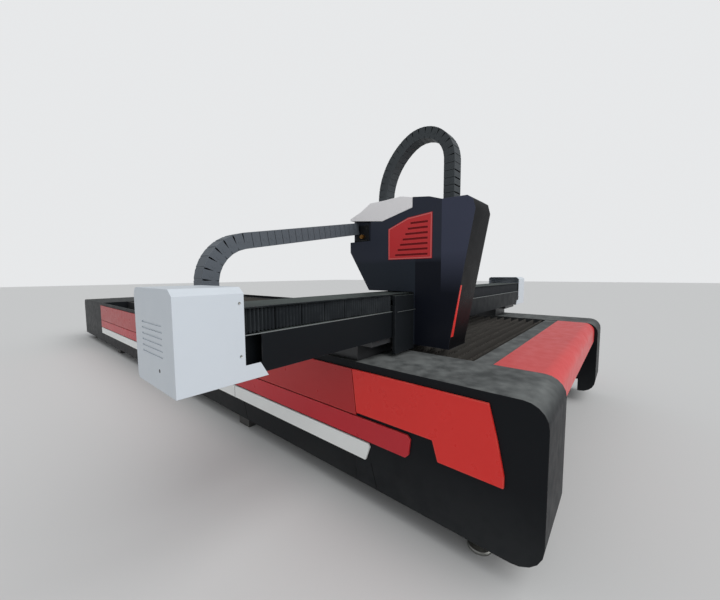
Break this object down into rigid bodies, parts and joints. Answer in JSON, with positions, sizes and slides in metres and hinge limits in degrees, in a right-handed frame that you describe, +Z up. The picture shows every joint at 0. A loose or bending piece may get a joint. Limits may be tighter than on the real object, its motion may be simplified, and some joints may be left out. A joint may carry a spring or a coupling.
{
  "type": "fiber laser cutting machine",
  "caption": "Open-bed gantry laser cutter: long slatted table, beam sliding along it on side rails, tall carriage with cutting head, bellows and energy chains.",
  "frame": {"origin": "centre of the underside of the front centre levelling foot, on the floor and on the bed's centre plane", "axes": "+X across the bed away from the beam's longer overhang, +Y along the bed to its rear, +Z up"},
  "size_m": [4.469, 8.99, 2.308],
  "materials": {
    "frame_paint": "satin dark grey paint",
    "ground_steel": "ground",
    "zinc": "zinc plated",
    "slat_steel": "scorched, dusty",
    "charcoal_paint": "satin",
    "dusty_paint": "dusty matt",
    "red_paint": "satin",
    "deep_red_paint": "satin",
    "white_paint": "satin",
    "bellows_fabric": "coated fabric",
    "chain_plastic": "moulded",
    "motor_black": "satin",
    "aluminium": "machined"
  },
  "bodies": {
    "bed": {"bed_frame": "frame_paint", "front_centre_foot": "zinc", "near_front_foot": "zinc", "near_rear_foot": "zinc", "far_front_foot": "zinc", "far_rear_foot": "zinc", "near_y_rail": "ground_steel", "far_y_rail": "ground_steel", "near_y_rack": "ground_steel", "far_y_rack": "ground_steel", "slat_tray_1": "slat_steel", "slat_tray_2": "slat_steel", "slat_tray_3": "slat_steel", "slat_tray_4": "slat_steel", "front_cover": "red_paint", "front_panel": "dusty_paint", "rear_cover": "charcoal_paint", "near_front_cap": "dusty_paint", "far_front_cap": "dusty_paint", "near_rear_cap": "charcoal_paint", "far_rear_cap": "charcoal_paint", "near_skirt": "charcoal_paint", "far_skirt": "charcoal_paint", "near_front_panel": "red_paint", "far_front_panel": "red_paint", "near_upper_panel": "deep_red_paint", "far_upper_panel": "deep_red_paint", "near_lower_stripe": "deep_red_paint", "far_lower_stripe": "deep_red_paint", "near_white_stripe": "white_paint", "far_white_stripe": "white_paint"},
    "gantry": {"beam": "charcoal_paint", "beam_lower_panel": "charcoal_paint", "near_end_cover": "white_paint", "far_end_cover": "white_paint", "near_saddle": "frame_paint", "far_saddle": "frame_paint", "near_y_motor": "motor_black", "far_y_motor": "motor_black", "lower_x_rail": "ground_steel", "upper_x_rail": "ground_steel", "x_rack": "ground_steel", "near_bellows": "bellows_fabric", "far_bellows": "bellows_fabric", "x_chain_tray": "zinc", "x_chain": "chain_plastic"},
    "near_y_drive": {"near_y_pinion": "ground_steel"},
    "far_y_drive": {"far_y_pinion": "ground_steel"},
    "carriage": {"carriage_plate": "charcoal_paint", "housing": "charcoal_paint", "housing_cap": "white_paint", "louvre_panel": "red_paint", "corner_strip": "red_paint", "x_motor": "motor_black", "z_chain": "chain_plastic", "z_motor": "motor_black"},
    "x_drive": {"x_pinion": "ground_steel"},
    "z_drive": {"z_screw": "ground_steel"},
    "head": {"z_slide": "aluminium", "cutting_head": "aluminium"}
  },
  "joints": [
    {"name": "y_travel", "type": "slide", "parent": "bed", "child": "gantry", "axis": [0, 1, 0], "range_m": [0, 6]},
    {"name": "x_travel", "type": "slide", "parent": "gantry", "child": "carriage", "axis": [1, 0, 0], "range_m": [0, 2], "deforming": ["near_bellows", "far_bellows", "x_chain"]},
    {"name": "z_travel", "type": "slide", "parent": "carriage", "child": "head", "axis": [0, 0, 1], "range_m": [0, 0.12], "deforming": ["z_chain"]},
    {"name": "near_pinion_spin", "type": "hinge", "parent": "gantry", "child": "near_y_drive", "pos_m": [-1.366, 0.96, 0.69], "axis": [0, 0, 1], "range_deg": [0, 11460]},
    {"name": "far_pinion_spin", "type": "hinge", "parent": "gantry", "child": "far_y_drive", "pos_m": [1.366, 0.96, 0.69], "axis": [0, 0, 1], "range_deg": [-11460, 0]},
    {"name": "x_pinion_spin", "type": "hinge", "parent": "carriage", "child": "x_drive", "pos_m": [-1.045, 0.65, 1.1732], "axis": [0, 1, 0], "range_deg": [-9550, 0]},
    {"name": "screw_spin", "type": "hinge", "parent": "carriage", "child": "z_drive", "pos_m": [-0.92, 0.53, 1.02], "axis": [0, 0, 1], "range_deg": [-4321, 0]}
  ],
  "couplings": [
    {"joint": "near_pinion_spin", "follows": "y_travel", "rad_per_m": 33.333},
    {"joint": "far_pinion_spin", "follows": "y_travel", "rad_per_m": -33.333},
    {"joint": "x_pinion_spin", "follows": "x_travel", "rad_per_m": -83.333},
    {"joint": "screw_spin", "follows": "z_travel", "rad_per_m": -628.32}
  ]
}
